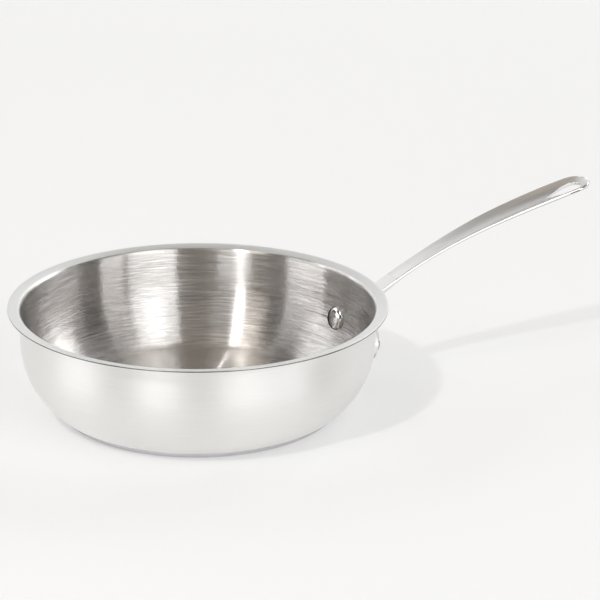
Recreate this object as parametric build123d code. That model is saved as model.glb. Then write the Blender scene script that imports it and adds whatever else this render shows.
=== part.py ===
from build123d import *
from math import asin, atan2, cos, degrees, radians, sin, sqrt, tan
import os

# A saucier pan of drawn stainless sheet with a bonded base and a riveted handle.
# Millimetres. Z is up, the handle lies along +X, and the origin is on the pan's axis
# at the face that rests on the hob.

# Vessel: the drawn sheet with its floor, curved wall and pouring lip
sheet_thickness = 0.9
wall_radius = 119.0            # outside of the upright part of the wall
wall_curve_radius = 56.0       # outside of the long curve under the upright part
corner_radius = 12.4           # outside of the tight curve next to the floor
corner_angle = 41.8            # turn of that tight curve, in degrees
rim_height = 72.3              # top of the lip's outer edge above the hob
lip_width = 8.0                # from the upright wall's outside to the lip's outer edge
lip_bend_radius = 1.7
lip_rise_angle = 9.5           # the lip climbs outwards by this, in degrees

# Base: an aluminium disc bonded under the floor, closed in by a thin stainless cap
core_thickness = 2.7
cap_thickness = 0.5
cap_corner_radius = 1.5
cap_margin = 2.44              # from the end of the flat floor to the cap's outside

# Rivets
rivet_drop = 36.3              # below the rim
rivet_angle = 13.6             # each side of the handle, round the pan's axis, in degrees
shank_radius = 3.0
shank_clearance = 0.05
inner_head_radius = 8.0
inner_head_rise = 2.6
inner_head_edge = 0.5
outer_head_radius = 4.7
outer_head_rise = 2.1
outer_head_edge = 0.4

# Handle: the bracket plate on the wall
bracket_thickness = 4.0
bracket_lobe_radius = 11.0
bracket_top_drop = 1.7         # plate's top below the line of the handle's upper edges
bracket_fillet = 9.0           # inside corners between the neck and the lobes
bracket_edge_fillet = 1.2
web_radius = 12.0              # hollow curve from the plate to the neck's underside
web_sink = 0.2                 # the web starts this far inside the plate and the neck

# Handle: the line that its upper edges follow, seen from the side
handle_length = 176.3          # wall to tip
bend_distance = 111.0          # wall to where the neck's curve gives way to the flatter grip curve
bend_rise = 37.7               # above the rim
bend_angle = 17.2              # slope of the line there, in degrees
neck_root_angle = 33.2         # slope of the line where it meets the wall, in degrees
grip_curve_radius = 900.0

# Handle: its outline seen from above
neck_half_width = 7.3
grip_half_width = 13.0
flare_distance = 11.0          # wall to the start of the widening
flare_to_tip = 20.3            # end of the widening to the tip

# Handle: its section
side_height = 2.1              # upright side of the grip
shell_thickness = 2.4          # metal under the scoop
least_crown = 0.1              # the underside is always a little round
edge_radius = 0.9
neck_depth_distance = 46.0     # wall to where the neck has stopped growing deeper underneath
neck_depth_radius = 219.0

# Handle: the brushed scoop in its upper face
scoop_distance = 24.0          # plain flat root between the wall and the scoop
scoop_full_to_tip = 33.3       # where the scoop is steepest, to the tip
scoop_rise_to_tip = 17.3       # where the scoop starts to rise again, to the tip
scoop_rise_radius = 40.0
scoop_margin = 1.1             # from the handle's outline to the scoop
scoop_start_tilt = 4.0         # slope of the scoop where it meets the edge, in degrees
scoop_full_tilt = 34.0

# Handle: the hanging slot
slot_length = 27.0
slot_round_radius = 6.3
slot_land = 5.3                # metal between the slot and the tip
slot_point_radius = 0.8
slot_edge_radius = 0.4

# Steps between the sections that shape the handle, and limits that keep fillets inside their walls
station_steps = 12
side_fillet_share = 0.45
inside_fillet_share = 0.9

# One length that cutters and blanks reach past what they cut
overrun = 6.0

# Places that follow from the sizes above
floor_height = core_thickness + cap_thickness
corner_reach_share = sin(radians(corner_angle))
floor_radius = (
    wall_radius - wall_curve_radius * (1 - corner_reach_share) - corner_radius * corner_reach_share
)
cap_radius = floor_radius + cap_margin
rim_radius = wall_radius + lip_width
rivet_height = rim_height - rivet_drop
neck_root = wall_radius - bracket_thickness
handle_reach = wall_radius + handle_length
bend_reach = wall_radius + bend_distance
bend_height = rim_height + bend_rise
neck_curve_radius = bend_distance / (sin(radians(neck_root_angle)) - sin(radians(bend_angle)))
flare_start = wall_radius + flare_distance
flare_end = handle_reach - flare_to_tip
neck_depth_reach = wall_radius + neck_depth_distance
scoop_start = wall_radius + scoop_distance
scoop_full = handle_reach - scoop_full_to_tip
scoop_rise = handle_reach - scoop_rise_to_tip
slot_end = handle_reach - slot_land
slot_point = slot_end - slot_length
slot_round_centre = slot_end - slot_round_radius


def wall_outline(inset):
    """Outside line of the vessel from its axis to the lip, moved inwards by inset."""
    bend = radians(90 - lip_rise_angle)
    lip_start = wall_radius + lip_bend_radius * (1 - cos(bend))
    lip_length = (rim_radius - lip_start) / sin(bend)
    bend_start = (
        rim_height - sheet_thickness * sin(bend) - lip_length * cos(bend) - lip_bend_radius * sin(bend)
    )
    floor = Line((0, floor_height + inset), (floor_radius, floor_height + inset))
    corner = JernArc(floor @ 1, (1, 0), corner_radius - inset, corner_angle)
    curve = JernArc(corner @ 1, corner % 1, wall_curve_radius - inset, 90 - corner_angle)
    upright = Line(curve @ 1, ((curve @ 1).X, bend_start))
    lip_bend = JernArc(upright @ 1, upright % 1, lip_bend_radius + inset, lip_rise_angle - 90)
    lip = Line(lip_bend @ 1, lip_bend @ 1 + (lip_bend % 1) * lip_length)
    return [floor, corner, curve, upright, lip_bend, lip]


def revolved(edges):
    """Closed outline in the plane of the pan's axis, turned into a solid of revolution."""
    return revolve(Plane.XZ * make_face(Curve() + edges), Axis.Z)


def filled_vessel(inset, top=None):
    """The vessel's outside, or its cavity, as a full body up to the upright wall's end or a given top."""
    lines = wall_outline(inset)[:4]
    end = lines[-1] @ 1
    height = end.Y if top is None else top
    lines[-1] = Line(lines[-1] @ 0, (end.X, height))
    start = lines[0] @ 0
    return revolved(lines + [Line((end.X, height), (0, height)), Line((0, height), start)])


def upright_start():
    """Height where the wall's long curve ends, which is also the height of that curve's centre."""
    turn = radians(corner_angle)
    return floor_height + corner_radius * (1 - cos(turn)) + wall_curve_radius * cos(turn)


def wall_gap(point):
    """Distance of a point from the wall's outside, measured outwards."""
    reach = sqrt(point.X**2 + point.Y**2)
    drop = max(upright_start() - point.Z, 0)
    return sqrt((reach - wall_radius + wall_curve_radius) ** 2 + drop**2) - wall_curve_radius


def rivet_plane(side):
    """Plane whose origin is on the wall's outside at a rivet, with its normal pointing out of the pan."""
    drop = max(upright_start() - rivet_height, 0) / wall_curve_radius
    reach = wall_radius - wall_curve_radius * (1 - sqrt(1 - drop**2))
    turn = radians(side * rivet_angle)
    slope = asin(drop)
    normal = (cos(slope) * cos(turn), cos(slope) * sin(turn), -sin(slope))
    origin = (reach * cos(turn), reach * sin(turn), rivet_height)
    return Plane(origin=origin, x_dir=(-sin(turn), cos(turn), 0), z_dir=normal)


def rivet_bore(side):
    """Clear hole for one rivet through the wall and the bracket."""
    length = bracket_thickness + sheet_thickness + overrun
    return rivet_plane(side) * Cylinder(shank_radius + shank_clearance, 2 * length)


def make_vessel():
    outside = wall_outline(0)
    inside = wall_outline(sheet_thickness)
    rim_edge = Line(outside[-1] @ 1, inside[-1] @ 1)
    axis_edge = Line(inside[0] @ 0, outside[0] @ 0)
    body = revolved(outside + [rim_edge] + inside + [axis_edge])
    for side in (-1, 1):
        body -= rivet_bore(side)
    return body


def make_base_core():
    core = Cylinder(cap_radius - cap_thickness, core_thickness, align=(Align.CENTER, Align.CENTER, Align.MIN))
    core = fillet(core.edges().group_by(Axis.Z)[0], cap_corner_radius - cap_thickness)
    return Pos(0, 0, cap_thickness) * core


def make_base_cap(core):
    """Thin cup round the core, closed against the curved underside of the vessel."""
    height = floor_height + corner_radius
    cup = Cylinder(cap_radius, height, align=(Align.CENTER, Align.CENTER, Align.MIN))
    cup = fillet(cup.edges().group_by(Axis.Z)[0], cap_corner_radius)
    return cup - filled_vessel(0) - core


def edge_height(x):
    """Height of the handle's upper edges at the distance x from the pan's axis."""
    radius = neck_curve_radius if x < bend_reach else grip_curve_radius
    centre_x = bend_reach + radius * sin(radians(bend_angle))
    centre_z = bend_height - radius * cos(radians(bend_angle))
    return centre_z + sqrt(radius**2 - (x - centre_x) ** 2)


def flare_arc():
    """Run, radius and turn of the two equal arcs that widen the handle from its neck to its grip."""
    run = (flare_end - flare_start) / 2
    rise = (grip_half_width - neck_half_width) / 2
    return run, (run**2 + rise**2) / (2 * rise), 2 * degrees(atan2(rise, run))


def half_width(x):
    """Half the handle's width at x, without its round tip."""
    run, radius, _ = flare_arc()
    if x <= flare_start:
        return neck_half_width
    if x >= flare_end:
        return grip_half_width
    if x < flare_start + run:
        return neck_half_width + radius - sqrt(radius**2 - (x - flare_start) ** 2)
    return grip_half_width - radius + sqrt(radius**2 - (flare_end - x) ** 2)


def scoop_shape(x):
    """Depth and radius of the scoop's round section at x."""
    progress = min(max(x - scoop_start, 0) / (scoop_full - scoop_start), 1)
    tilt = radians(scoop_start_tilt + (scoop_full_tilt - scoop_start_tilt) * progress)
    chord = half_width(x) - scoop_margin
    depth = chord * tan(tilt / 2)
    if x > scoop_rise:
        depth -= (x - scoop_rise) ** 2 / (2 * scoop_rise_radius)
    return depth, chord / sin(tilt)


def section(x, floor, radius, chord, level):
    """Upright face at x, round below with its lowest point at floor, flat above at level."""
    rise = radius - sqrt(radius**2 - chord**2)
    right, left = (chord, floor + rise), (-chord, floor + rise)
    bottom = ThreePointArc(left, (0, floor), right)
    outline = [
        bottom,
        Line(right, (chord, level)),
        Line((chord, level), (-chord, level)),
        Line((-chord, level), left),
    ]
    return Plane(origin=(x, 0, 0), x_dir=(0, 1, 0), z_dir=(1, 0, 0)) * make_face(Curve() + outline)


def stations(start, end):
    """Evenly spaced places along the handle, where its sections are drawn."""
    return [start + (end - start) * step / station_steps for step in range(station_steps + 1)]


def underside_crown(x):
    """Height of the round underside's arc at x."""
    return max(max(scoop_shape(x)[0], 0) + shell_thickness - side_height, least_crown)


def underside_height(x):
    """Height of the middle of the handle's underside at x."""
    extra = max(neck_depth_reach - x, 0) ** 2 / (2 * neck_depth_radius)
    return edge_height(x) - side_height - underside_crown(x) - extra


def slab_section(x):
    """Section of the handle's blank at x, wider than the handle, before the scoop is cut."""
    chord = half_width(x)
    crown = underside_crown(x)
    radius = (chord**2 + crown**2) / (2 * crown)
    return section(x, underside_height(x), radius, chord + edge_radius, edge_height(x))


def scoop_section(x):
    """Section of the scoop's cutter at x, whose round bottom runs out past the handle's edges."""
    depth, radius = scoop_shape(x)
    edge = edge_height(x)
    chord = min(half_width(x) + edge_radius, radius * sin(radians(2 * scoop_full_tilt)))
    return section(x, edge - depth, radius, chord, edge + radius + overrun)


def handle_outline():
    """The handle seen from above, as a face from inside the wall to the round tip."""
    _, radius, turn = flare_arc()
    round_centre = handle_reach - grip_half_width
    neck = Line((neck_root, neck_half_width), (flare_start, neck_half_width))
    flare = JernArc(neck @ 1, (1, 0), radius, turn)
    swell = JernArc(flare @ 1, flare % 1, radius, -turn)
    grip = Line(swell @ 1, (round_centre, grip_half_width))
    upper = [neck, flare, swell, grip]
    lower = [mirror(line, Plane.XZ) for line in upper]
    tip = ThreePointArc((round_centre, grip_half_width), (handle_reach, 0), (round_centre, -grip_half_width))
    root = Line((neck_root, -neck_half_width), (neck_root, neck_half_width))
    return make_face(Curve() + upper + [tip] + lower + [root])


def slot_outline():
    """Teardrop seen from above: a point towards the pan, and a round end towards the tip."""
    length = slot_round_centre - slot_point
    radius = (length**2 + slot_round_radius**2) / (2 * slot_round_radius)
    top = (slot_round_centre, slot_round_radius)
    turn = degrees(asin(length / radius))
    side = JernArc(top, (-1, 0), radius, turn)
    other = mirror(side, Plane.XZ)
    end = ThreePointArc(top, (slot_end, 0), (slot_round_centre, -slot_round_radius))
    outline = make_face(Curve() + [side, end, other])
    return fillet(outline.vertices().sort_by(Axis.X)[0], slot_point_radius)


def make_blade():
    """Neck and grip: a curved bar with a round underside, a flat top, a round tip and soft edges."""
    slab = loft([slab_section(x) for x in stations(neck_root, handle_reach)])
    blade = slab & extrude(handle_outline(), edge_height(handle_reach) + overrun)
    long_edges = [edge for edge in blade.edges() if edge.bounding_box().size.X > edge_radius / 2]
    return fillet(long_edges, min(edge_radius, side_fillet_share * side_height))


def make_bracket():
    """Plate on the wall's outside, with a lobe round each rivet and a neck up to the handle."""
    neck_top = edge_height(wall_radius) - bracket_top_drop
    sleeve = filled_vessel(-bracket_thickness, neck_top + overrun) - filled_vessel(0)
    lobe_reach = rivet_plane(1).origin.Y
    lobes = Pos(0, rivet_height) * SlotCenterToCenter(2 * lobe_reach, 2 * bracket_lobe_radius)
    neck_height = neck_top - rivet_height
    neck = Pos(0, rivet_height + neck_height / 2) * Rectangle(2 * neck_half_width, neck_height)
    face = lobes + neck
    inside_corners = face.vertices().filter_by(
        lambda v: abs(v.Y - rivet_height - bracket_lobe_radius) < shank_clearance
        and abs(v.X) < neck_half_width + shank_clearance
    )
    neck_side = neck_height - bracket_lobe_radius
    face = fillet(inside_corners, min(bracket_fillet, inside_fillet_share * neck_side))
    plate = sleeve & extrude(Plane.YZ * face, 2 * wall_radius)
    outer_edges = [
        edge
        for edge in plate.edges()
        if abs(wall_gap(edge @ 0.5) - bracket_thickness) < shank_clearance
        and (abs((edge @ 0.5).Y) > shank_clearance or (edge @ 0.5).Z < rivet_height)
    ]
    return fillet(outer_edges, bracket_edge_fillet)


def make_web():
    """Rounded web that carries the bracket plate over into the neck's underside."""
    face_reach = wall_radius + bracket_thickness - web_sink
    far_reach = face_reach + web_radius / 2
    corner_height = underside_height(face_reach)
    slope = degrees(atan2(underside_height(far_reach) - corner_height, far_reach - face_reach))
    turn = 90 - slope
    foot = (face_reach, corner_height + web_sink - web_radius * tan(radians(turn / 2)))
    curve = JernArc(foot, (0, 1), web_radius, -turn)
    inside = bracket_thickness / 2
    corners = [
        ((curve @ 1).X, (curve @ 1).Y),
        ((curve @ 1).X, (curve @ 1).Y + inside),
        (face_reach - inside, corner_height + inside),
        (face_reach - inside, foot[1]),
        foot,
    ]
    outline = make_face(Curve() + [curve, Polyline(corners)])
    width = neck_half_width - bracket_edge_fillet
    web = extrude(Plane.XZ * outline, width, both=True)
    curved_face = web.faces().filter_by(GeomType.CYLINDER)[0]
    side_edges = [edge for edge in curved_face.edges() if edge.geom_type == GeomType.CIRCLE]
    return fillet(side_edges, edge_radius)


def make_handle():
    blade = make_blade()
    bracket = make_bracket()
    handle = bracket + (blade - filled_vessel(0)) + make_web()
    for side in (-1, 1):
        handle -= rivet_bore(side)
    handle -= loft([scoop_section(x) for x in stations(scoop_start, handle_reach + edge_radius)])
    handle -= extrude(slot_outline(), edge_height(handle_reach) + overrun)
    slot_edges = [
        edge
        for edge in handle.edges()
        if slot_point - slot_edge_radius < (edge @ 0.5).X < slot_end + slot_edge_radius
        and abs((edge @ 0.5).Y) < slot_round_radius + slot_edge_radius
        and edge.bounding_box().size.X + edge.bounding_box().size.Y > slot_edge_radius
    ]
    return fillet(slot_edges, slot_edge_radius)


def rivet_head(radius, rise, edge, seat):
    """Domed head that sits at the height seat, with a root below it for the seat's shape to be cut from."""
    dome_radius = (radius**2 + rise**2) / (2 * rise)
    dome = Pos(0, 0, rise - dome_radius) * Sphere(dome_radius)
    column = Cylinder(radius, rise, align=(Align.CENTER, Align.CENTER, Align.MIN))
    root = Cylinder(radius, seat + edge, align=(Align.CENTER, Align.CENTER, Align.MAX))
    return Pos(0, 0, seat + edge) * ((dome & column) + root)


def make_rivet(side):
    """One rivet: a large head inside the pan, a shank, and a small head on the bracket."""
    place = rivet_plane(side)
    inward = Plane(origin=place.origin, x_dir=place.x_dir, z_dir=-place.z_dir)
    inner = inward * rivet_head(inner_head_radius, inner_head_rise, inner_head_edge, sheet_thickness)
    outer = place * rivet_head(outer_head_radius, outer_head_rise, outer_head_edge, bracket_thickness)
    shank_start = sheet_thickness + inner_head_edge
    shank_end = bracket_thickness + outer_head_edge
    shank = Pos(0, 0, (shank_end - shank_start) / 2) * Cylinder(shank_radius, shank_start + shank_end)
    inner_head = inner & filled_vessel(sheet_thickness)
    outer_head = outer - filled_vessel(-bracket_thickness)
    return inner_head + place * shank + outer_head


base_core = make_base_core()
parts = {
    "vessel": make_vessel(),
    "base_core": base_core,
    "base_cap": make_base_cap(base_core),
    "handle": make_handle(),
    "rivet_right": make_rivet(-1),
    "rivet_left": make_rivet(1),
}

os.makedirs("parts", exist_ok=True)
for name, shape in parts.items():
    export_step(shape, f"parts/{name}.step")
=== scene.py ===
import bpy
from math import asin, cos, pi, radians, sin, sqrt, tan
from mathutils import Matrix, Vector


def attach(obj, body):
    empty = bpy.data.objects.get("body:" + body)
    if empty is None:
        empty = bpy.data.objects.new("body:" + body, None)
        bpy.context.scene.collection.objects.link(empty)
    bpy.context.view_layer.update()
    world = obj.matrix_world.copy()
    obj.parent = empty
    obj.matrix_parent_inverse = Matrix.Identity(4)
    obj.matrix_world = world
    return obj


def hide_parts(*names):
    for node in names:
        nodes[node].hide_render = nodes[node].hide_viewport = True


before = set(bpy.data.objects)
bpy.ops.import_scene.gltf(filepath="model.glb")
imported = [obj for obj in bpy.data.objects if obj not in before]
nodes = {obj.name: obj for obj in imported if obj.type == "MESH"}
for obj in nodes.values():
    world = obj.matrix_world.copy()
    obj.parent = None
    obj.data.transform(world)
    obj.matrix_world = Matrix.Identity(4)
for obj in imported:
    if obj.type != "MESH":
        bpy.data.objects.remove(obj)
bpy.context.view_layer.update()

# camera, at the photo's viewing angle
cameraSetup = {
    "place": (-0.48996, -1.29697, 0.56785),
    "heading": (0.39875, 0.91706),     # level direction of view
    "pitch": 19.609,                   # degrees down
    "roll": 0.648,
    "lens": 132.0,
    "sensor": 36.0,
    "clipEnd": 50.0,
}


def makeCamera(setup):
    data = bpy.data.cameras.new("studioCamera")
    data.lens = setup["lens"]
    data.sensor_width = setup["sensor"]
    data.clip_end = setup["clipEnd"]
    cam = bpy.data.objects.new("studioCamera", data)
    bpy.context.scene.collection.objects.link(cam)
    pitch, roll = radians(setup["pitch"]), radians(setup["roll"])
    level = Vector((*setup["heading"], 0)).normalized()
    up = Vector((0, 0, 1))
    ahead = level * cos(pitch) - up * sin(pitch)
    side = ahead.cross(up).normalized()
    top = side.cross(ahead)
    right = side * cos(roll) + top * sin(roll)
    above = top * cos(roll) - side * sin(roll)
    turn = Matrix((right, above, -ahead)).transposed()
    cam.matrix_world = Matrix.Translation(setup["place"]) @ turn.to_4x4()
    bpy.context.scene.camera = cam


makeCamera(cameraSetup)
bpy.context.scene.view_settings.view_transform = "Standard"
print("camera set")


# small helpers for node trees

def newMaterial(name):
    mat = bpy.data.materials.new(name)
    mat.use_nodes = True
    tree = mat.node_tree
    return mat, tree, tree.nodes["Principled BSDF"]


def feed(tree, socket, value):
    # another node's output is linked, a constant is set on the socket itself
    if isinstance(value, bpy.types.NodeSocket):
        tree.links.new(value, socket)
    else:
        socket.default_value = value


def addMath(tree, operation, *values):
    node = tree.nodes.new("ShaderNodeMath")
    node.operation = operation
    for socket, value in zip(node.inputs, values):
        feed(tree, socket, value)
    return node.outputs[0]


def addVector(tree, operation, *values, scale=None):
    node = tree.nodes.new("ShaderNodeVectorMath")
    node.operation = operation
    for socket, value in zip(node.inputs, values):
        feed(tree, socket, value)
    if scale is not None:
        feed(tree, node.inputs["Scale"], scale)
    return node.outputs[0]


def addNoise(tree, vector, scale, detail, roughness=0.5):
    node = tree.nodes.new("ShaderNodeTexNoise")
    node.inputs["Scale"].default_value = scale
    node.inputs["Detail"].default_value = detail
    node.inputs["Roughness"].default_value = roughness
    tree.links.new(vector, node.inputs["Vector"])
    return node.outputs[0]


def addMix(tree, factor, first, second):
    node = tree.nodes.new("ShaderNodeMix")
    node.data_type = "RGBA"
    for index, value in ((0, factor), (6, first), (7, second)):
        feed(tree, node.inputs[index], value)
    return node.outputs[2]


def addRange(tree, value, fromLow, fromHigh, toLow=0.0, toHigh=1.0):
    node = tree.nodes.new("ShaderNodeMapRange")
    for socket, given in zip(node.inputs, (value, fromLow, fromHigh, toLow, toHigh)):
        feed(tree, socket, given)
    return node.outputs[0]


def addSplit(tree, vector):
    node = tree.nodes.new("ShaderNodeSeparateXYZ")
    tree.links.new(vector, node.inputs[0])
    return node.outputs


def addJoin(tree, *values):
    node = tree.nodes.new("ShaderNodeCombineXYZ")
    for socket, value in zip(node.inputs, values):
        feed(tree, socket, value)
    return node.outputs[0]


# steel turned on a spindle: fine rings from an abrasive belt

ringGrain = {
    "grooves": 5300.0,                 # a metre along the profile
    "steep": 1.0,                      # above 1, few grooves tip far and most hardly
    "bandTilt": 0.02,                  # how far wider bands of grooves tip the surface
    "sway": 0.02,                      # how far they tip it sideways
    "tangentTurn": 0.25,               # a quarter turn, so reflections spread along the profile
    "around": 5.0,
    "fine": 3200.0,
    "fineDetail": 2.0,
    "fineShare": 0.45,
    "coarse": 700.0,
    "coarseDetail": 3.0,
    "coarseShare": 0.55,
    "coarseRoughness": 0.65,
    "toneSpread": (0.36, 0.64),
    "roughSpread": (0.35, 0.65),
}
insideFinish = {
    **ringGrain,
    "name": "ringBrushedSteel",
    "dark": (0.58, 0.56, 0.54, 1),
    "light": (0.88, 0.86, 0.845, 1),
    "roughness": (0.20, 0.23),
    "anisotropy": 1.0,
    "grooveTilt": 0.9,                 # how far single grooves tip the surface
    "bandTilt": 0.32,
    "sway": 0.035,
    "fine": 2000.0,
    "coarse": 1000.0,
}
floorFinish = {
    **ringGrain,
    "name": "smoothFloorSteel",
    "dark": (0.70, 0.68, 0.655, 1),
    "light": (0.79, 0.775, 0.755, 1),
    "roughness": (0.20, 0.22),
    "anisotropy": 1.0,
    "grooveTilt": 3.0,
    "steep": 4.0,
    "bandTilt": 0.06,
    "around": 7.0,
    "coarse": 900.0,
}
outsideFinish = {
    **ringGrain,
    "name": "satinSteel",
    "dark": (0.85, 0.845, 0.83, 1),
    "light": (0.88, 0.875, 0.86, 1),
    "roughness": (0.42, 0.45),
    "anisotropy": 0.75,
    "grooveTilt": 0.2,
}
lipFinish = {
    **ringGrain,
    "name": "satinLipSteel",
    "dark": (0.755, 0.75, 0.73, 1),
    "light": (0.795, 0.79, 0.77, 1),
    "roughness": (0.30, 0.34),
    "anisotropy": 0.3,
    "grooveTilt": 0.12,
}
# painted shade: the cut edge's near-black tone stands in for the shade in the gap under the lip
shadedCutEdgeFinish = {
    **ringGrain,
    "name": "shadedCutEdgeSteel",
    "dark": (0.14, 0.133, 0.127, 1),
    "light": (0.19, 0.18, 0.172, 1),
    "roughness": (0.26, 0.32),
    "anisotropy": 0.3,
    "grooveTilt": 0.1,
}
# partly painted shade: the polished cup's own steel tone is darkened to stand in for the mirrored
# shadow on the floor and the dark line where the cup meets the floor
shadedBaseFinish = {
    **ringGrain,
    "name": "shadedPolishedBaseSteel",
    "dark": (0.60, 0.585, 0.605, 1),
    "light": (0.66, 0.65, 0.665, 1),
    "roughness": (0.15, 0.19),
    "anisotropy": 0.6,
    "grooveTilt": 0.1,
    "sway": 0.01,
    "around": 4.0,
    "fine": 2600.0,
    "coarse": 500.0,
}


def addProfilePlace(tree):
    # how far along its profile a point of a turned piece lies, from the piece's map
    profile = tree.nodes.new("ShaderNodeUVMap")
    profile.uv_map = "profileMap"
    return addSplit(tree, profile.outputs[0])[1]


def addTurnedPlace(tree, around, across):
    # direction round the pan's axis, and the place along the profile
    place = addSplit(tree, tree.nodes.new("ShaderNodeNewGeometry").outputs["Position"])
    angle = addMath(tree, "ARCTAN2", place[1], place[0])
    return addJoin(tree,
                   addMath(tree, "MULTIPLY", addMath(tree, "COSINE", angle), around),
                   addMath(tree, "MULTIPLY", addMath(tree, "SINE", angle), around),
                   addMath(tree, "MULTIPLY", addProfilePlace(tree), across))


def addGrooves(tree, finish):
    # tilt of -1 to 1 across each groove
    count = addMath(tree, "MULTIPLY", addProfilePlace(tree), finish["grooves"])
    tilt = addMath(tree, "MULTIPLY_ADD", addMath(tree, "FRACT", count), 2.0, -1.0)
    if finish["steep"] == 1:
        return tilt
    return addMath(tree, "MULTIPLY", addMath(tree, "SIGN", tilt),
                   addMath(tree, "POWER", addMath(tree, "ABSOLUTE", tilt), finish["steep"]))


def addRingTilt(tree, shader, tilt, sway):
    # grooves round the axis tip the surface up and down along the profile, and hardly sideways
    geometry = tree.nodes.new("ShaderNodeNewGeometry")
    level = addVector(tree, "MULTIPLY", geometry.outputs["Position"], (1, 1, 0))
    around = addVector(tree, "NORMALIZE", addVector(tree, "CROSS_PRODUCT", level, (0, 0, 1)))
    facing = geometry.outputs["Normal"]
    along = addVector(tree, "CROSS_PRODUCT", facing, around)
    tipped = addVector(tree, "ADD", facing, addVector(tree, "SCALE", along, scale=tilt))
    tipped = addVector(tree, "ADD", tipped, addVector(tree, "SCALE", around, scale=sway))
    tree.links.new(addVector(tree, "NORMALIZE", tipped), shader.inputs["Normal"])


def addRoundTangent(tree, shader, turn):
    # the belt went round the axis
    tangent = tree.nodes.new("ShaderNodeTangent")
    tangent.direction_type = "RADIAL"
    tangent.axis = "Z"
    tree.links.new(tangent.outputs[0], shader.inputs["Tangent"])
    shader.inputs["Anisotropic Rotation"].default_value = turn


def makeRingBrushed(finish):
    mat, tree, shader = newMaterial(finish["name"])
    shader.inputs["Metallic"].default_value = 1
    shader.inputs["Anisotropic"].default_value = finish["anisotropy"]
    fine = addNoise(tree, addTurnedPlace(tree, finish["around"], finish["fine"]),
                    1.0, finish["fineDetail"])
    coarse = addNoise(tree, addTurnedPlace(tree, finish["around"], finish["coarse"]),
                      1.0, finish["coarseDetail"], finish["coarseRoughness"])
    lines = addMath(tree, "ADD", addMath(tree, "MULTIPLY", fine, finish["fineShare"]),
                    addMath(tree, "MULTIPLY", coarse, finish["coarseShare"]))
    tone = addRange(tree, lines, *finish["toneSpread"])
    tree.links.new(addMix(tree, tone, finish["dark"], finish["light"]), shader.inputs["Base Color"])
    rough = addRange(tree, coarse, *finish["roughSpread"], *finish["roughness"])
    tree.links.new(rough, shader.inputs["Roughness"])
    grooves = addMath(tree, "MULTIPLY", addGrooves(tree, finish), finish["grooveTilt"] / 2)
    bands = addMath(tree, "MULTIPLY", addMath(tree, "SUBTRACT", lines, 0.5), finish["bandTilt"])
    sway = addMath(tree, "MULTIPLY", addMath(tree, "SUBTRACT", fine, 0.5), finish["sway"])
    addRingTilt(tree, shader, addMath(tree, "ADD", grooves, bands), sway)
    addRoundTangent(tree, shader, finish["tangentTurn"])
    return mat


insideSteel = makeRingBrushed(insideFinish)
floorSteel = makeRingBrushed(floorFinish)
outsideSteel = makeRingBrushed(outsideFinish)
lipSteel = makeRingBrushed(lipFinish)
shadedCutEdgeSteel = makeRingBrushed(shadedCutEdgeFinish)
shadedBaseSteel = makeRingBrushed(shadedBaseFinish)
print("pan finishes made")


# turned pieces, each from a profile of (radius, height) round the z axis

turning = {
    "touching": 1e-7,                  # points nearer than this are one point
    "sharpAngle": 32,                  # degrees between two faces from which their edge stays crisp
}


def arcPoints(centre, radius, start, end, count):
    return [
        (centre[0] + radius * cos(start + (end - start) * i / count),
         centre[1] + radius * sin(start + (end - start) * i / count))
        for i in range(count + 1)
    ]


def joinStretches(stretches, materials):
    # the profile's points, and for each step between two the slot of its stretch's material
    points, slots = [], []
    for stretch, material in stretches:
        for point in stretch:
            if points:
                apart = abs(point[0] - points[-1][0]) + abs(point[1] - points[-1][1])
                if apart < turning["touching"]:
                    continue
                slots.append(materials.index(material))
            points.append(point)
    return points, slots


def turnProfile(name, stretches, steps, materials, place=None):
    points, slots = joinStretches(stretches, materials)
    lengths = [0.0]
    for first, second in zip(points, points[1:]):
        lengths.append(lengths[-1] + sqrt((first[0] - second[0]) ** 2 + (first[1] - second[1]) ** 2))
    verts, rings = [], []
    for radius, height in points:
        if radius < turning["touching"]:
            rings.append([len(verts)] * steps)
            verts.append((0, 0, height))
            continue
        rings.append(list(range(len(verts), len(verts) + steps)))
        for i in range(steps):
            turn = 2 * pi * i / steps
            verts.append((radius * cos(turn), radius * sin(turn), height))
    faces, faceSlots, corners = [], [], []
    for j, slotIndex in enumerate(slots):
        lower, upper = rings[j], rings[j + 1]
        for i in range(steps):
            k = (i + 1) % steps
            face = [lower[i], lower[k], upper[k], upper[i]]
            marks = [(i, j), (i + 1, j), (i + 1, j + 1), (i, j + 1)]
            if lower[i] == lower[k]:
                face, marks = [lower[i], upper[k], upper[i]], [marks[0], marks[2], marks[3]]
            elif upper[i] == upper[k]:
                face, marks = [lower[i], lower[k], upper[i]], marks[:3]
            faces.append(face)
            faceSlots.append(slotIndex)
            corners.extend((mark[0] / steps, lengths[mark[1]]) for mark in marks)
    mesh = bpy.data.meshes.new(name)
    mesh.from_pydata(verts, [], faces)
    profileMap = mesh.uv_layers.new(name="profileMap")
    for loop, corner in zip(profileMap.data, corners):
        loop.uv = corner
    for polygon, slotIndex in zip(mesh.polygons, faceSlots):
        polygon.material_index = slotIndex
        polygon.use_smooth = True
    for material in materials:
        mesh.materials.append(material)
    if place is not None:
        mesh.transform(place)
    mesh.set_sharp_from_angle(angle=radians(turning["sharpAngle"]))
    mesh.validate()
    piece = bpy.data.objects.new(name, mesh)
    bpy.context.scene.collection.objects.link(piece)
    return piece


# vessel, the drawn sheet
vesselSizes = {
    "sheet": 0.0009,
    "wallRadius": 0.119,
    "wallCurve": 0.056,
    "corner": 0.0124,
    "cornerAngle": 41.8,
    "rimRadius": 0.12699,
    "rimHeight": 0.0723,
    "lipBend": 0.0017,
    "lipRise": 9.5,
    "floorHeight": 0.0032,
    "edgeRound": 0.0002,
    "floorRing": 0.5,                  # one ring lies at this share of the flat floor's radius
    "lipFinishFrom": 7,                # point of the lip's bend where the lip's finish starts
    "cornerSteps": 12,
    "curveSteps": 22,
    "bendSteps": 8,
    "lipSteps": 3,
    "edgeSteps": 3,
    "steps": 320,
}


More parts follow.
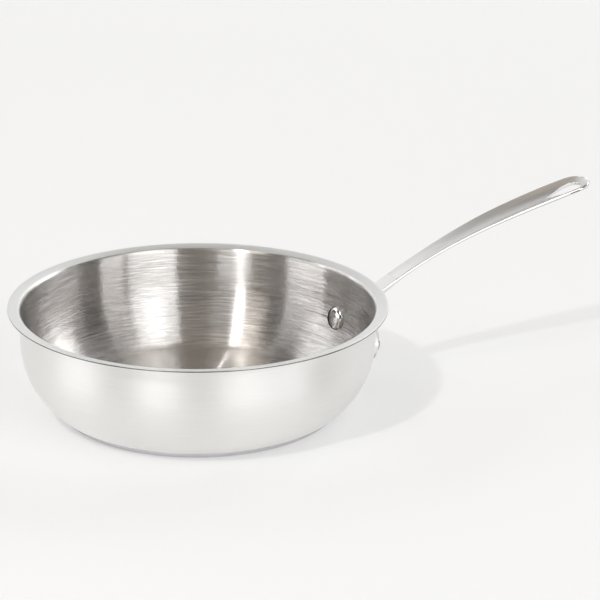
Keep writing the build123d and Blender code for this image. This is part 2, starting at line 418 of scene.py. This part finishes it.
def curveTop(sizes):
    # height where the long curve ends in the upright wall
    turn = radians(sizes["cornerAngle"])
    return sizes["floorHeight"] + sizes["corner"] * (1 - cos(turn)) + sizes["wallCurve"] * cos(turn)


def wallLine(sizes, inset):
    # the vessel's outside line in stretches from the axis to the lip, moved inwards by inset
    turn, rise = radians(sizes["cornerAngle"]), radians(sizes["lipRise"])
    bend = radians(90 - sizes["lipRise"])
    corner, curve, wall = sizes["corner"], sizes["wallCurve"], sizes["wallRadius"]
    floorRadius = wall - curve * (1 - sin(turn)) - corner * sin(turn)
    floorLevel, curveHeight = sizes["floorHeight"] + inset, curveTop(sizes)
    lipStart = wall + sizes["lipBend"] * (1 - cos(bend))
    lipLength = (sizes["rimRadius"] - lipStart) / sin(bend)
    bendStart = sizes["rimHeight"] - sizes["sheet"] * sin(bend)
    bendStart -= lipLength * cos(bend) + sizes["lipBend"] * sin(bend)
    bendRadius = sizes["lipBend"] + inset
    lipBend = arcPoints((wall - inset + bendRadius, bendStart), bendRadius,
                        pi, pi - bend, sizes["bendSteps"])
    return {
        "floor": [(0.0, floorLevel), (floorRadius * sizes["floorRing"], floorLevel),
                  (floorRadius, floorLevel)],
        "corner": arcPoints((floorRadius, sizes["floorHeight"] + corner), corner - inset,
                            -pi / 2, -pi / 2 + turn, sizes["cornerSteps"]),
        "curve": arcPoints((wall - curve, curveHeight), curve - inset,
                           -pi / 2 + turn, 0, sizes["curveSteps"]),
        "upright": [(wall - inset, curveHeight), (wall - inset, (curveHeight + bendStart) / 2),
                    (wall - inset, bendStart)],
        "lipBend": lipBend,
        "lip": [(lipBend[-1][0] + cos(rise) * lipLength * i / sizes["lipSteps"],
                 lipBend[-1][1] + sin(rise) * lipLength * i / sizes["lipSteps"])
                for i in range(sizes["lipSteps"] + 1)],
    }


def makeVessel(sizes):
    inside, outside = wallLine(sizes, sizes["sheet"]), wallLine(sizes, 0.0)
    soft, steps, change = sizes["edgeRound"], sizes["edgeSteps"], sizes["lipFinishFrom"]
    rise = radians(sizes["lipRise"])
    run, normal = (cos(rise), sin(rise)), (-sin(rise), cos(rise))
    top, bottom = inside["lip"][-1], outside["lip"][-1]
    upperCentre = [top[i] - run[i] * soft - normal[i] * soft for i in range(2)]
    lowerCentre = [bottom[i] - run[i] * soft + normal[i] * soft for i in range(2)]
    upperEdge = arcPoints(upperCentre, soft, rise + pi / 2, rise, steps)
    lowerEdge = arcPoints(lowerCentre, soft, rise, rise - pi / 2, steps)
    stretches = [
        (inside["floor"], floorSteel),
        (inside["corner"], insideSteel),
        (inside["curve"], insideSteel),
        (inside["upright"], insideSteel),
        (inside["lipBend"][:change], insideSteel),
        (inside["lipBend"][change:], lipSteel),
        (inside["lip"][:-1], lipSteel),
        (upperEdge, lipSteel),
        # the rim's cut edge carries painted shade
        (lowerEdge, shadedCutEdgeSteel),
        (outside["lip"][:-1][::-1], outsideSteel),
    ]
    stretches += [(outside[part][::-1], outsideSteel)
                  for part in ("lipBend", "upright", "curve", "corner", "floor")]
    piece = turnProfile("vesselShell", stretches, sizes["steps"],
                        [insideSteel, lipSteel, outsideSteel, floorSteel, shadedCutEdgeSteel])
    piece.data.flip_normals()
    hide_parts("vessel")
    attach(piece, "root")


makeVessel(vesselSizes)
print("vessel made")


# base: thin cup that closes the core in
baseSizes = {
    "radius": 0.0945,
    "corner": 0.0015,
    "top": 0.00340,
    "topRound": 0.00018,
    "sheet": 0.0005,
    "topFall": 0.00006,                # the cup's top edge falls this far to its inside
    "underRings": (0.4, 0.75),         # shares of the radius where rings lie on the flat underside
    "cornerSteps": 8,
    "insideSteps": 6,
    "topSteps": 3,
    "steps": 256,
}


def makeBaseCap(sizes):
    radius, corner, top = sizes["radius"], sizes["corner"], sizes["top"]
    soft, sheet = sizes["topRound"], sizes["sheet"]
    centre = (radius - corner, corner)
    under = [(0.0, 0.0), *((radius * share, 0.0) for share in sizes["underRings"]),
             (radius - corner, 0.0)]
    lowEdge = arcPoints(centre, corner, -pi / 2, 0, sizes["cornerSteps"])
    topEdge = arcPoints((radius - soft, top - soft), soft, 0, pi / 2, sizes["topSteps"])
    inside = [(radius - sheet, top - sizes["topFall"]),
              *arcPoints(centre, corner - sheet, 0, -pi / 2, sizes["insideSteps"]), (0.0, sheet)]
    stretches = [(line, shadedBaseSteel) for line in (under, lowEdge, topEdge, inside)]
    piece = turnProfile("baseCup", stretches, sizes["steps"], [shadedBaseSteel])
    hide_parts("base_cap")
    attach(piece, "root")


makeBaseCap(baseSizes)
print("base made")


# plain polish with a faint haze
polishHaze = {
    "scale": 420.0,
    "detail": 3.0,
    "dull": 0.93,                      # share of the tone that is left in the dullest spots
    "spread": (0.3, 0.7),
    "roughShares": (0.8, 1.3),
}


def makePolish(name, color, roughness):
    mat, tree, shader = newMaterial(name)
    shader.inputs["Metallic"].default_value = 1
    place = tree.nodes.new("ShaderNodeNewGeometry").outputs["Position"]
    haze = addNoise(tree, place, polishHaze["scale"], polishHaze["detail"])
    dull = tuple(polishHaze["dull"] * part for part in color[:3]) + (1,)
    tree.links.new(addMix(tree, haze, dull, color), shader.inputs["Base Color"])
    limits = [roughness * share for share in polishHaze["roughShares"]]
    rough = addRange(tree, haze, *polishHaze["spread"], *limits)
    tree.links.new(rough, shader.inputs["Roughness"])
    return mat


# rivets: polished heads inside and outside, with the shank between
rivetSizes = {
    "height": 0.036,
    "angle": 13.6,
    "sheet": 0.0009,
    "plate": 0.004,
    "shank": 0.003,
    "innerRadius": 0.008,
    "innerRise": 0.0031,
    "outerRadius": 0.0047,
    "outerRise": 0.0025,
    "root": 0.0006,
    "sidePower": 0.92,                 # both below 1: a head is fuller than a ball's cap
    "crownPower": 0.8,
    "domeSteps": 14,
    "steps": 72,
    "polish": (0.86, 0.85, 0.835, 1),
    "edge": (0.045, 0.04, 0.038, 1),   # painted dark reflection on a head's side turned away from the view
    "edgeFacing": (0.46, 0.64),
    "roughness": 0.05,
}


# painted dark reflection: where a head turns away from the view, its colour and specular tint go dark
def paintDarkReflection(material, sizes):
    tree = material.node_tree
    shader = tree.nodes["Principled BSDF"]
    turned = tree.nodes.new("ShaderNodeLayerWeight")
    plain = shader.inputs["Base Color"].links[0].from_socket
    away = addRange(tree, turned.outputs["Facing"], *sizes["edgeFacing"])
    tree.links.new(addMix(tree, away, plain, sizes["edge"]), shader.inputs["Base Color"])
    tree.links.new(addMix(tree, away, (1, 1, 1, 1), sizes["edge"]), shader.inputs["Specular Tint"])


def domeLine(sizes, radius, rise, seat):
    # from the crown down a steep side
    turns = [pi / 2 * i / sizes["domeSteps"] for i in range(sizes["domeSteps"] + 1)]
    return [(radius * sin(turn) ** sizes["sidePower"],
             seat + rise * cos(turn) ** sizes["crownPower"]) for turn in turns]


def rivetPlace(sizes, side):
    # on the wall's outside at the rivet's height, with z straight out of the wall
    drop = (curveTop(vesselSizes) - sizes["height"]) / vesselSizes["wallCurve"]
    reach = vesselSizes["wallRadius"] - vesselSizes["wallCurve"] * (1 - sqrt(1 - drop ** 2))
    turn = radians(side * sizes["angle"])
    slope = asin(drop)
    out = Vector((cos(slope) * cos(turn), cos(slope) * sin(turn), -sin(slope)))
    across = Vector((-sin(turn), cos(turn), 0))
    place = Matrix((across, out.cross(across), out)).transposed().to_4x4()
    place.translation = Vector((reach * cos(turn), reach * sin(turn), sizes["height"]))
    return place


def makeRivet(sizes, name, node, side):
    outer = domeLine(sizes, sizes["outerRadius"], sizes["outerRise"], sizes["plate"])
    inner = [(radius, -height) for radius, height in
             domeLine(sizes, sizes["innerRadius"], sizes["innerRise"], sizes["sheet"])]
    innerRoot, outerRoot = sizes["root"] - sizes["sheet"], sizes["plate"] - sizes["root"]
    shank = [(sizes["innerRadius"], innerRoot), (sizes["shank"], innerRoot),
             (sizes["shank"], outerRoot), (sizes["outerRadius"], outerRoot)]
    stretches = [(line, rivetPolish) for line in (inner, shank, outer[::-1])]
    piece = turnProfile(name, stretches, sizes["steps"], [rivetPolish], rivetPlace(sizes, side))
    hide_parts(node)
    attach(piece, "root")


rivetPolish = makePolish("polishedRivetSteel", rivetSizes["polish"], rivetSizes["roughness"])
# the heads get a painted dark reflection on their turned-away sides
paintDarkReflection(rivetPolish, rivetSizes)
makeRivet(rivetSizes, "rivetLeft", "rivet_left", 1)
makeRivet(rivetSizes, "rivetRight", "rivet_right", -1)
print("rivets made")


# handle: the scooped face is brushed along its length, the rest is polished
handleFinish = {
    "brushedDark": (0.70, 0.685, 0.665, 1),
    "brushedLight": (0.80, 0.79, 0.775, 1),
    "polished": (0.84, 0.83, 0.82, 1),
    # painted shade: the faces turned down are given this dark tone
    "underside": (0.46, 0.45, 0.44, 1),
    "satin": (0.86, 0.85, 0.855, 1),   # flat patch between the pan and the scoop
    "brushedRoughness": 0.29,
    "polishedRoughness": 0.14,
    "satinRoughness": 0.42,
    "anisotropy": 0.6,
    "scoopStart": 0.143,
    "tipCentre": 0.2823,
    "margin": 0.00112,                 # from the handle's outline to the scoop's
    "blend": 0.00012,
    "halfWidths": ((0.13, 0.0073), (0.166, 0.00799), (0.2025, 0.01015), (0.239, 0.01231),
                   (0.275, 0.013), (0.3, 0.013)),
    "widthStart": 0.13,                # the curve of half widths starts here, and runs this far
    "widthSpan": 0.17,
    "widthMost": 0.013,
    "upward": (0.35, 0.5),             # normals from and to which a face counts as turned up
    "downward": (-0.55, -0.2),         # and as turned down
    "grainScales": (60.0, 2600.0, 60.0),
    "grainDetail": 3.0,
    "grainRoughness": 0.6,
    "grainSpread": (0.33, 0.67),
    "bumpStrength": 0.06,
    "bumpDistance": 0.00005,
}


def addHalfWidth(tree, along, finish):
    # half the handle's width along its length
    start, span, most = finish["widthStart"], finish["widthSpan"], finish["widthMost"]
    widths = tree.nodes.new("ShaderNodeFloatCurve")
    curve = widths.mapping.curves[0]
    points = [((x - start) / span, y / most) for x, y in finish["halfWidths"]]
    curve.points[0].location = points[0]
    curve.points[1].location = points[-1]
    for point in points[1:-1]:
        curve.points.new(*point)
    widths.mapping.update()
    tree.links.new(addRange(tree, along, start, start + span), widths.inputs["Value"])
    return addMath(tree, "MULTIPLY", widths.outputs[0], most)


def addWithinOutline(tree, place, finish):
    # 1 inside the handle's outline less the margin, as seen from above
    past = addMath(tree, "MAXIMUM", addMath(tree, "SUBTRACT", place[0], finish["tipCentre"]), 0.0)
    away = addMath(tree, "SQRT", addMath(tree, "ADD", addMath(tree, "MULTIPLY", past, past),
                                         addMath(tree, "MULTIPLY", place[1], place[1])))
    reach = addMath(tree, "SUBTRACT", addHalfWidth(tree, place[0], finish), finish["margin"])
    room = addMath(tree, "SUBTRACT", reach, away)
    return addRange(tree, room, -finish["blend"], finish["blend"])


def makeHandleFinish(finish):
    mat, tree, shader = newMaterial("brushedHandleSteel")
    shader.inputs["Metallic"].default_value = 1
    shader.inputs["Anisotropic"].default_value = finish["anisotropy"]
    geometry = tree.nodes.new("ShaderNodeNewGeometry")
    place = addSplit(tree, geometry.outputs["Position"])
    facing = addSplit(tree, geometry.outputs["Normal"])[2]
    # where the scoop, the flat patch and the painted-shade underside are
    beyond = addRange(tree, place[0], finish["scoopStart"] - finish["blend"],
                      finish["scoopStart"] + finish["blend"])
    upward = addRange(tree, facing, *finish["upward"])
    downward = addRange(tree, facing, *finish["downward"], 1.0, 0.0)
    within = addWithinOutline(tree, place, finish)
    scoop = addMath(tree, "MULTIPLY", addMath(tree, "MULTIPLY", within, beyond), upward)
    patch = addMath(tree, "MULTIPLY", addMath(tree, "SUBTRACT", 1.0, beyond), upward)
    # grain along the handle
    stretched = addJoin(tree, *(addMath(tree, "MULTIPLY", part, scale)
                                for part, scale in zip(place, finish["grainScales"])))
    grain = addNoise(tree, stretched, 1.0, finish["grainDetail"], finish["grainRoughness"])
    tone = addRange(tree, grain, *finish["grainSpread"])
    brushed = addMix(tree, tone, finish["brushedDark"], finish["brushedLight"])
    # faces turned down get the painted shade tone
    plain = addMix(tree, downward, finish["polished"], finish["underside"])
    plain = addMix(tree, patch, plain, finish["satin"])
    tree.links.new(addMix(tree, scoop, plain, brushed), shader.inputs["Base Color"])
    polished = finish["polishedRoughness"]
    rough = addMath(tree, "MULTIPLY_ADD", scoop, finish["brushedRoughness"] - polished, polished)
    rough = addMath(tree, "MULTIPLY_ADD", patch, finish["satinRoughness"] - polished, rough)
    tree.links.new(rough, shader.inputs["Roughness"])
    bump = tree.nodes.new("ShaderNodeBump")
    bump.inputs["Strength"].default_value = finish["bumpStrength"]
    bump.inputs["Distance"].default_value = finish["bumpDistance"]
    tree.links.new(addMath(tree, "MULTIPLY", grain, scoop), bump.inputs["Height"])
    tree.links.new(bump.outputs[0], shader.inputs["Normal"])
    tree.links.new(addJoin(tree, 0.0, 1.0, 0.0), shader.inputs["Tangent"])
    return mat


# core, out of sight between the floor and the cup
coreFinish = {
    "tone": (0.75, 0.75, 0.76, 1),
    "roughness": 0.35,
}


def dressNode(name, material):
    mesh = nodes[name].data
    mesh.materials.clear()
    mesh.materials.append(material)


dressNode("handle", makeHandleFinish(handleFinish))
dressNode("base_core", makePolish("plainCoreAluminium", coreFinish["tone"], coreFinish["roughness"]))
print("handle dressed")


# studio: white floor, one small key light and a ring of soft panels with dark gaps between them
studioSetup = {
    "floorSize": 30.0,
    "floorColor": (0.93, 0.93, 0.93, 1),
    "paperGlow": 0.33,                 # share of plain white that camera and metal see on the floor
    "worldColor": (1.0, 0.93, 0.85, 1),
    "worldStrength": 0.07,
    "plain": (0.99, 1.0, 1.01),
    "warm": (1.08, 1.0, 0.92),
    "warmColumns": (187, 236, 318),    # columns that start at these azimuths have the warm tone
    "aim": (0.03, 0.0, 0.04),
    "distance": 4.0,
}
# middle, width and height in degrees as the pan sees them, and glow
softboxes = {
    "key": {"azimuth": 213, "elevation": 48, "width": 2.6, "height": 3, "glow": 262, "distance": 2.1},
    "keyHalo": {"azimuth": 204, "elevation": 53, "width": 16, "height": 22, "glow": 0.4},
    "top": {"azimuth": 66, "elevation": 90, "width": 48, "height": 48, "glow": 0.36,
            "color": (1.12, 1.0, 0.875)},
}
# elevations from and to of the ring's rows, and per column its azimuths and the glow of each row
ringRows = ((0, 10), (10, 24), (24, 42), (42, 65))
ringColumns = {
    (6, 35): (0, 1.09, 3.32, 0.75),
    (35, 64): (0.43, 1.03, 1.7, 0),
    (64, 84): (0.85, 0.9, 0.6, 0.34),
    (84, 104): (0.75, 1.3, 1.15, 0.8),
    (104, 130): (0, 1.08, 1.51, 0.47),
    (130, 156): (0.43, 0, 2.01, 0),
    (156, 187): (3.36, 2.05, 0, 0),
    (187, 213): (0, 0, 0, 2.14),
    (213, 224): (4.54, 0, 0, 0.28),
    (224, 236): (5, 0, 0, 0.67),
    (236, 261): (0, 0.46, 0, 0),
    (264, 281): (3.08, 1.03, 3.66, 0),
    (281, 298): (1.12, 2.34, 2.34, 2.79),
    (301, 318): (2.93, 1.78, 0, 1.75),
    (318, 337): (0, 0, 0, 0.2),
    (337, 366): (0.83, 0.73, 0, 0),
}


def panelPlace(spot, distance):
    # a panel at that distance that faces the pan, and its width and height in metres
    azimuth, elevation = radians(spot["azimuth"]), radians(spot["elevation"])
    out = Vector((cos(elevation) * cos(azimuth), cos(elevation) * sin(azimuth), sin(elevation)))
    turn = out.to_track_quat("Z", "Y").to_matrix().to_4x4()
    width = 2 * distance * tan(radians(spot["width"] / 2))
    height = 2 * distance * tan(radians(spot["height"] / 2))
    return Matrix.Translation(Vector(studioSetup["aim"]) + distance * out) @ turn, width, height


def makeSoftbox(name, spot):
    place, width, height = panelPlace(spot, spot.get("distance", studioSetup["distance"]))
    lamp = bpy.data.lights.new(name, "AREA")
    lamp.shape = "RECTANGLE"
    lamp.size, lamp.size_y = width, height
    lamp.energy = spot["glow"] * pi * width * height
    lamp.color = spot.get("color", (1, 1, 1))
    box = bpy.data.objects.new(name, lamp)
    bpy.context.scene.collection.objects.link(box)
    box.matrix_world = place
    box.visible_camera = False


def makePanelColumn(left, right, glows):
    # one panel for each row of the ring that glows
    tone = studioSetup["warm"] if left in studioSetup["warmColumns"] else studioSetup["plain"]
    for (bottom, top), glow in zip(ringRows, glows):
        if glow > 0:
            middle = (bottom + top) / 2
            makeSoftbox(f"panel{left}at{bottom}", {
                "azimuth": (left + right) / 2, "elevation": middle, "glow": glow, "color": tone,
                "width": (right - left) * cos(radians(middle)), "height": top - bottom})


def makeFloor(setup):
    size = setup["floorSize"]
    corners = [(-size, -size, 0), (size, -size, 0), (size, size, 0), (-size, size, 0)]
    mesh = bpy.data.meshes.new("studioFloor")
    mesh.from_pydata(corners, [], [(0, 1, 2, 3)])
    floor = bpy.data.objects.new("studioFloor", mesh)
    bpy.context.scene.collection.objects.link(floor)
    mat, tree, shader = newMaterial("studioPaper")
    shader.inputs["Base Color"].default_value = setup["floorColor"]
    shader.inputs["Roughness"].default_value = 1
    white = tree.nodes.new("ShaderNodeEmission")
    blend = tree.nodes.new("ShaderNodeMixShader")
    rays = tree.nodes.new("ShaderNodeLightPath").outputs
    seen = addMath(tree, "MAXIMUM", rays["Is Camera Ray"], rays["Is Glossy Ray"])
    seen = addMath(tree, "MAXIMUM", seen, rays["Is Transmission Ray"])
    tree.links.new(addMath(tree, "MULTIPLY", seen, setup["paperGlow"]), blend.inputs[0])
    tree.links.new(shader.outputs[0], blend.inputs[1])
    tree.links.new(white.outputs[0], blend.inputs[2])
    tree.links.new(blend.outputs[0], tree.nodes["Material Output"].inputs[0])
    mesh.materials.append(mat)


def makeWorld(setup):
    world = bpy.data.worlds.new("studioWorld")
    bpy.context.scene.world = world
    world.use_nodes = True
    sky = world.node_tree.nodes["Background"]
    sky.inputs[0].default_value = setup["worldColor"]
    sky.inputs[1].default_value = setup["worldStrength"]


makeFloor(studioSetup)
makeWorld(studioSetup)
for name, spot in softboxes.items():
    makeSoftbox(name, spot)
for (left, right), glows in ringColumns.items():
    makePanelColumn(left, right, glows)
print("studio made")
